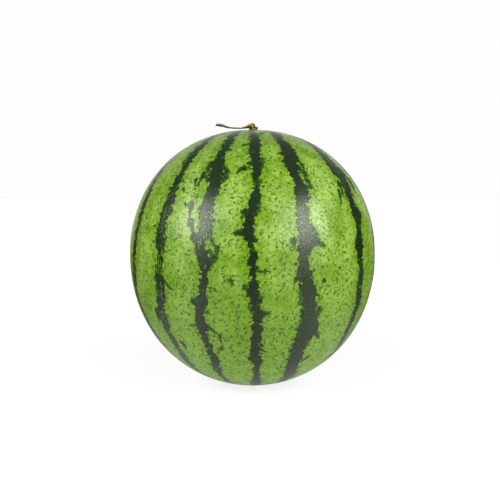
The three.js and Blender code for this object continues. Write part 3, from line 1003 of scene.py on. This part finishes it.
def stem_material(stem):
    """Dry fibres along the stem, straw on the ridges and bark brown in the grooves.

    Painted light and shade: the side that faces up toward the lamps is painted lighter and the
    underside painted darker, less so on the knob. The length before the tip is darker, the cut end is
    pale, and the foot is corky brown.
    """
    strand_size, strand_stretch, strand_gain = 0.32, (1.0, 1.0, 0.12), 2.4
    patch_size, patch_gain = 3.2, 2.4
    # Painted light and shade: the way the lamps' light comes from, and how much darker or lighter it paints
    painted_light_and_shade_way, painted_light_and_shade_from, painted_light_and_shade_full = (-0.35, -0.1, 0.93), -0.2, 0.75
    painted_shade_share, painted_light_and_shade_share = -0.8, 0.35
    knob_end, tail_start, knob_painted_light_and_shade = 0.25, 0.45, 0.25
    straw_from, straw_full = 0.15, 0.85
    olive_from, olive_full, olive_share = 0.52, 0.68, 0.5
    bleach_and_highlight_from, bleach_and_highlight_full, bleach_and_highlight_share = 0.95, 1.4, 0.9
    aged_middle, aged_inner, aged_outer, aged_share = 0.84, 0.05, 0.13, 0.55
    cut_from, cut_full = 0.935, 0.97
    cork_end, cork_share = 0.06, 0.75
    smoothest, grain_roughness, grain_rise = 0.58, 0.2, 0.6
    grain_size, grain_stretch, relief_depth = 0.35, (1.0, 1.0, 0.3), 0.16 * MM

    material, graph = new_material("Dried fibrous stem")
    fibre = graph.attribute("fibre_place", "Vector")
    along = graph.attribute("toward_tip")
    stretched = graph.stretched(fibre, strand_stretch)
    strands = graph.noise(stretched, strand_size, detail=3.0, roughness=0.6)
    patches = graph.noise(fibre, patch_size)
    share = graph.swayed(graph.attribute("raised"), strands, strand_gain)
    share = graph.swayed(share, patches, patch_gain)
    # Painted light and shade: fibres facing up and a little toward the tip and front are painted lighter,
    # those facing down darker, at a quarter strength on the knob
    normal = graph.node("ShaderNodeNewGeometry").outputs["Normal"]
    painted_light_and_shade = graph.vector("DOT_PRODUCT", normal, painted_light_and_shade_way, output="Value")
    painted_light_and_shade = graph.ramp(painted_light_and_shade, painted_light_and_shade_from, painted_light_and_shade_full, painted_shade_share, painted_light_and_shade_share)
    share = graph.added(share, painted_light_and_shade, graph.ramp(along, knob_end, tail_start, knob_painted_light_and_shade, 1.0))

    straw = graph.ramp(share, straw_from, straw_full)
    base = graph.mix(straw, tuple(stem.bark), tuple(stem.straw))
    olive = graph.ramp(patches, olive_from, olive_full, 0.0, olive_share)
    base = graph.mix(olive, base, tuple(stem.olive))
    # Painted highlight, partly bleached fibres: cream where raised fibres face up toward the lamps
    bleach_and_highlight = graph.ramp(share, bleach_and_highlight_from, bleach_and_highlight_full, 0.0, bleach_and_highlight_share)
    base = graph.mix(bleach_and_highlight, base, tuple(stem.bleach_and_highlight))
    from_aged = graph.math("ABSOLUTE", graph.math("SUBTRACT", along, aged_middle))
    aged = graph.ramp(from_aged, aged_inner, aged_outer, aged_share, 0.0)
    base = graph.mix(aged, base, tuple(stem.aged))
    base = graph.mix(graph.ramp(along, cut_from, cut_full), base, tuple(stem.cut))
    base = graph.mix(graph.ramp(along, cork_end, 0.0, 0.0, cork_share), base, tuple(stem.cork))

    grain_height, grain_tint = add_grain(graph, graph.stretched(fibre, grain_stretch), grain_size)
    roughness = graph.math("MULTIPLY_ADD", grain_tint, grain_roughness, smoothest)
    relief = graph.added(strands, grain_height, grain_rise)
    finish_material(graph, base, roughness, relief, relief_depth, {"IOR": 1.45})
    return material


def rind_marks(rind, azimuth, height, radius):
    """The fields that the rind's material reads, for each point of the grid and then the two poles.

    They are the millimetres inside a stripe and inside a thorn, the strength of the light flecks, and
    the blossom scar's mask. Under the fruit the stripes end short of the middle.
    """
    stripes = all_stripes(rind.seed)
    inside, flecks = stripe_distance(azimuth, height, radius, stripes)
    thorns = (*FRONT_THORNS, *back_thorns(stripes, rind.seed))
    thorn = thorn_distance(azimuth, height, radius, thorns)
    under = height < UNDERSIDE
    scar = np.clip(1 + SCAR_FADE - radius / rind.scar_radius, 0, SCAR_FADE) / SCAR_FADE
    scar = np.where(under, scar, 0)
    ended = np.minimum(inside, (radius / MM - STRIPES_END) * STRIPES_END_SLOPE)
    inside = np.where(under, ended, inside)
    fields = {"stripe_inside": inside, "stripe_flecks": flecks, "thorn_inside": thorn, "blossom_scar": scar}
    return {name: np.append(values, POLE_MARKS[name]) for name, values in fields.items()}


class MELON_OT_rind(bpy.types.Operator):
    """Grow the fruit: its rind, hollow, resting spot and blossom scar"""
    bl_idname = "melon.grow_rind"
    bl_label = "Grow the fruit"

    def execute(self, context):
        rind = context.scene.melon_rind
        grid, poles, azimuth, radius = rind_points(rind, RIND_ROWS, RIND_COLUMNS)
        points = np.concatenate([grid.reshape(-1, 3), poles])
        top, bottom = len(points) - 2, len(points) - 1
        made = make_mesh("watermelon_fruit", points, closed_faces(len(grid), RIND_COLUMNS, 0, top, bottom))
        for name, values in rind_marks(rind, azimuth, grid[..., 2], radius).items():
            give_attribute(made, name, values)
        made.data.materials.append(rind_material(rind))
        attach(made, "root")
        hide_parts("fruit")
        return {"FINISHED"}


def stem_relief(stem, phases):
    """The stem's radius as a share of its plain one: ridges that twist, and a sum of finer waves."""
    def wave(height, around, forward, phase, angle, share):
        return height * np.cos(around * angle + forward * share + phase)

    def relief(angle, share):
        ridges = stem.ridge_height * np.cos(stem.ridge_count * angle + stem.ridge_twist * share)
        total = STEM_FULLNESS + ridges
        for name, numbers in STEM_WAVES.items():
            total = total + wave(*numbers, phases[name], angle, share)
        rings = wave(*GROWTH_RINGS, phases["rings"], angle, share)
        return total + rings * np.sin(GROWTH_RINGS_COME_AND_GO * share + phases["rings come and go"])

    return relief


def seat_foot(rind, points, line, angle, phase):
    """Spread the foot's first rows into roots and sink their rim into the hollow.

    Over those rows a fading share is added to the radius, times the cosine of the roots, and the
    height goes over from the hollow's own to the tube's.
    """
    foot = np.clip(1 - np.arange(len(points)) / FOOT_ROWS, 0, 1)[:, None] ** 2
    grip = 1 + FOOT_ROOT_HEIGHT * foot * np.cos(FOOT_ROOTS * angle + phase)
    middle = line[:, None, :2]
    points[..., :2] = middle + (points[..., :2] - middle) * grip[..., None]
    spread = np.hypot(points[..., 0], points[..., 1])
    sunk = hollow(rind, 0) - hollow(rind, spread) - FOOT_SINK
    points[..., 2] = points[..., 2] * (1 - foot) + sunk * foot


def fibre_places(angle, travelled):
    """Places on a straightened stem, in mm: round a thin cylinder and along it."""
    parts = (FIBRE_RADIUS * np.cos(angle), FIBRE_RADIUS * np.sin(angle), travelled[:, None] / MM)
    return np.stack(np.broadcast_arrays(*parts), -1).reshape(-1, 3)


class MELON_OT_stem(bpy.types.Operator):
    """Grow the dried stem with its foot, knob, thin tail and broken spur"""
    bl_idname = "melon.grow_stem"
    bl_label = "Grow the stem"

    def execute(self, context):
        stem = context.scene.melon_stem
        drawn = np.random.default_rng(stem.seed).uniform(0, TURN, len(STEM_PHASES))
        phases = dict(zip(STEM_PHASES, drawn))
        relief = stem_relief(stem, phases)
        points, line, travelled, angle = tube_points(STEM_STOPS, STEM_ROWS, STEM_COLUMNS, relief)
        seat_foot(context.scene.melon_rind, points, line, angle, phases["roots"])

        def spur_relief(angle, share):
            height, around, forward = SPUR_WAVE
            return 1 + height * np.cos(around * angle + forward * share + phases["spur"])

        spur, spur_line, spur_travelled, spur_angle = tube_points(
            SPUR_STOPS, SPUR_ROWS, SPUR_COLUMNS, spur_relief)

        root = line[0] - np.array([0, 0, ROOT_END])
        tip = line[-1] - (line[-1] - line[-4]) * TIP_DENT
        poles = np.array([root, tip, spur_line[0], spur_line[-1]])
        spur_start = STEM_ROWS * STEM_COLUMNS
        pole = spur_start + SPUR_ROWS * SPUR_COLUMNS
        cloud = np.concatenate([points.reshape(-1, 3), spur.reshape(-1, 3), poles])
        cloud = cloud + np.array([0, 0, hollow_floor()])
        made = make_mesh("watermelon_stem", cloud, [
            *closed_faces(STEM_ROWS, STEM_COLUMNS, 0, pole, pole + 1, turned=True),
            *closed_faces(SPUR_ROWS, SPUR_COLUMNS, spur_start, pole + 2, pole + 3, turned=True),
        ])

        share = np.linspace(0, 1, STEM_ROWS)[:, None]
        raised = RAISED_MIDDLE + (relief(angle, share) - STEM_FULLNESS) * RAISED_GAIN
        spur_raised = np.full(spur_angle.size * SPUR_ROWS, SPUR_RAISED)
        toward_tip = (share + 0 * angle).ravel()
        spur_toward_tip = np.full(spur_raised.size, SPUR_TOWARD_TIP)
        fibres = fibre_places(angle, travelled)
        spur_fibres = fibre_places(spur_angle, spur_travelled) + SPUR_FIBRES
        give_attribute(made, "fibre_place", np.concatenate([fibres, spur_fibres, 0 * poles]))
        give_attribute(made, "raised", np.concatenate([raised.ravel(), spur_raised, POLES_RAISED]))
        toward_tip = np.concatenate([toward_tip, spur_toward_tip, POLES_TOWARD_TIP])
        give_attribute(made, "toward_tip", toward_tip)

        made.data.materials.append(stem_material(stem))
        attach(made, "root")
        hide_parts("stem")
        return {"FINISHED"}


def place_camera(stage):
    """A camera at the photograph's angle, whose lens and shift put the fruit's outline where it is."""
    middle = Vector((0, 0, (FRUIT_LOW.z + FRUIT_HIGH.z) / 2))
    away = Vector((0, -math.cos(stage.elevation), math.sin(stage.elevation)))
    camera = bpy.data.objects.new("camera", bpy.data.cameras.new("camera"))
    bpy.context.scene.collection.objects.link(camera)
    camera.location = middle + away * stage.distance
    camera.rotation_euler = (-away).to_track_quat("-Z", "Y").to_euler()
    fruit = bpy.data.objects["watermelon_fruit"].data
    points = np.zeros(len(fruit.vertices) * 3)
    fruit.vertices.foreach_get("co", points)
    away, upward = np.array(away), np.array([0, math.sin(stage.elevation), math.cos(stage.elevation)])
    points = points.reshape(-1, 3) - np.array(camera.location)
    depth = -points @ away
    across, up = points[:, 0] / depth, points @ upward / depth
    pixels = (OUTLINE_RIGHT - OUTLINE_LEFT) / (across.max() - across.min())
    camera.data.lens = camera.data.sensor_width * pixels / PHOTO_SIDE
    middle_across, middle_up = (across.max() + across.min()) / 2, (up.max() + up.min()) / 2
    middle_x, middle_y = (OUTLINE_LEFT + OUTLINE_RIGHT) / 2, (OUTLINE_TOP + OUTLINE_BOTTOM) / 2
    camera.data.shift_x = middle_across * pixels / PHOTO_SIDE - (middle_x / PHOTO_SIDE - 0.5)
    camera.data.shift_y = middle_up * pixels / PHOTO_SIDE + (middle_y / PHOTO_SIDE - 0.5)
    bpy.context.scene.camera = camera


def add_lamp(name, azimuth, elevation, width, height, power):
    """A soft area light that faces the fruit from the given side."""
    light = bpy.data.lights.new(name, "AREA")
    light.shape, light.size, light.size_y, light.energy = "RECTANGLE", width, height, power
    lamp = bpy.data.objects.new(name, light)
    bpy.context.scene.collection.objects.link(lamp)
    side, up = math.radians(azimuth), math.radians(elevation)
    away = Vector((math.sin(side) * math.cos(up), -math.cos(side) * math.cos(up), math.sin(up)))
    lamp.location = Vector(LAMP_AIM) + away * LAMP_DISTANCE
    lamp.rotation_euler = (-away).to_track_quat("-Z", "Y").to_euler()


def white_room(stage):
    """A world with light from the ceiling and the back paper, which is seen as plain white."""
    world = bpy.data.worlds.new("white room")
    bpy.context.scene.world = world
    world.use_nodes = True
    world.node_tree.nodes.clear()
    graph = Graph(world.node_tree)
    seen = graph.node("ShaderNodeLightPath").outputs["Is Camera Ray"]
    direction = graph.node("ShaderNodeTexCoord").outputs["Generated"]
    parts = graph.node("ShaderNodeSeparateXYZ", inputs={"Vector": direction})
    ceiling = graph.ramp(parts.outputs["Z"], *CEILING_EDGE, 0.0, stage.ceiling_light)
    paper = graph.ramp(parts.outputs["Y"], *PAPER_EDGE, 0.0, stage.back_light)
    room = graph.math("ADD", ceiling, paper)
    strength = graph.added(room, seen, graph.math("SUBTRACT", stage.backdrop, room))
    background = graph.node("ShaderNodeBackground", inputs={"Color": WHITE, "Strength": strength})
    out = graph.node("ShaderNodeOutputWorld")
    graph.feed(out.inputs["Surface"], background.outputs[0])


def floor_material(stage):
    """A matt floor that is pale where it is seen, glows near the fruit, and in the fruit's gloss has
    two lit pools and goes darker further out.
    """
    material, graph = new_material("Pale floor")
    place = graph.node("ShaderNodeTexCoord").outputs["Object"]
    rays = graph.node("ShaderNodeLightPath").outputs
    distance = graph.vector("LENGTH", place, output="Value")
    roughness = graph.ramp(graph.noise(place, FLOOR_GRAIN), *FLOOR_GRAIN_EDGE, *FLOOR_ROUGHNESS)

    glow = graph.ramp(distance, *GLOW_EDGE, stage.floor_glow, 0.0)
    pools = 0.0
    for azimuth in POOL_AZIMUTHS:
        side = math.radians(azimuth)
        centre = (POOL_DISTANCE * math.sin(side), -POOL_DISTANCE * math.cos(side), 0.0)
        from_centre = graph.vector("DISTANCE", place, centre, output="Value")
        pools = graph.math("MAXIMUM", pools, graph.ramp(from_centre, *POOL_EDGE, 1.0, 0.0))
    mirrored = graph.added(graph.math("MULTIPLY", glow, GLOW_IN_GLOSS), pools, stage.floor_pools)
    glow = graph.added(glow, rays["Is Glossy Ray"], graph.math("SUBTRACT", mirrored, glow))
    pale = graph.ramp(distance, *PALE_EDGE, *PALE_LEVELS)
    glow = graph.added(glow, rays["Is Camera Ray"], graph.math("SUBTRACT", pale, glow))

    far_in_gloss = graph.math("MULTIPLY", rays["Is Glossy Ray"], FAR_IN_GLOSS)
    far = graph.math("MAXIMUM", graph.ramp(distance, *FAR_EDGE), far_in_gloss)
    base = graph.mix(far, tuple(stage.floor), FLOOR_FAR)
    base = graph.mix(rays["Is Camera Ray"], base, FLOOR_SEEN)
    shader = graph.node("ShaderNodeBsdfPrincipled", inputs={
        "Base Color": base, "Roughness": roughness, "Specular IOR Level": FLOOR_GLOSS,
        "Emission Color": WHITE, "Emission Strength": glow})
    out = graph.node("ShaderNodeOutputMaterial")
    graph.feed(out.inputs["Surface"], shader.outputs[0])
    return material


class MELON_OT_stage(bpy.types.Operator):
    """Set the camera, the two softboxes, the white room and the pale floor"""
    bl_idname = "melon.set_stage"
    bl_label = "Set the stage"

    def execute(self, context):
        stage = context.scene.melon_stage
        place_camera(stage)
        for name, (azimuth, elevation, width, height, setting) in LAMPS.items():
            add_lamp(name, azimuth, elevation, width, height, getattr(stage, setting))
        white_room(stage)
        corners = FLOOR_REACH * np.array([[-1, -1, 0], [1, -1, 0], [1, 1, 0], [-1, 1, 0]])
        floor = make_mesh("floor", corners, [np.array([[0, 1, 2, 3]])])
        floor.data.materials.append(floor_material(stage))
        context.scene.view_settings.view_transform = "Standard"
        return {"FINISHED"}


class MELON_PT_panel(bpy.types.Panel):
    """Settings and steps of the watermelon."""
    bl_idname = "MELON_PT_panel"
    bl_label = "Watermelon"
    bl_space_type = "VIEW_3D"
    bl_region_type = "UI"
    bl_category = "Watermelon"

    def draw(self, context):
        for group in (context.scene.melon_rind, context.scene.melon_stem, context.scene.melon_stage):
            box = self.layout.box()
            for name in group.__annotations__:
                box.prop(group, name)
        for step in (MELON_OT_rind, MELON_OT_stem, MELON_OT_stage):
            self.layout.operator(step.bl_idname)


CLASSES = (
    MELON_PG_rind, MELON_PG_stem, MELON_PG_stage,
    MELON_OT_rind, MELON_OT_stem, MELON_OT_stage, MELON_PT_panel,
)


def register():
    for kind in CLASSES:
        bpy.utils.register_class(kind)
    bpy.types.Scene.melon_rind = bpy.props.PointerProperty(type=MELON_PG_rind)
    bpy.types.Scene.melon_stem = bpy.props.PointerProperty(type=MELON_PG_stem)
    bpy.types.Scene.melon_stage = bpy.props.PointerProperty(type=MELON_PG_stage)


def unregister():
    del bpy.types.Scene.melon_stage
    del bpy.types.Scene.melon_stem
    del bpy.types.Scene.melon_rind
    for kind in reversed(CLASSES):
        bpy.utils.unregister_class(kind)


def main():
    register()
    bpy.ops.melon.grow_rind()
    bpy.ops.melon.grow_stem()
    bpy.ops.melon.set_stage()


if __name__ == "__main__":
    main()
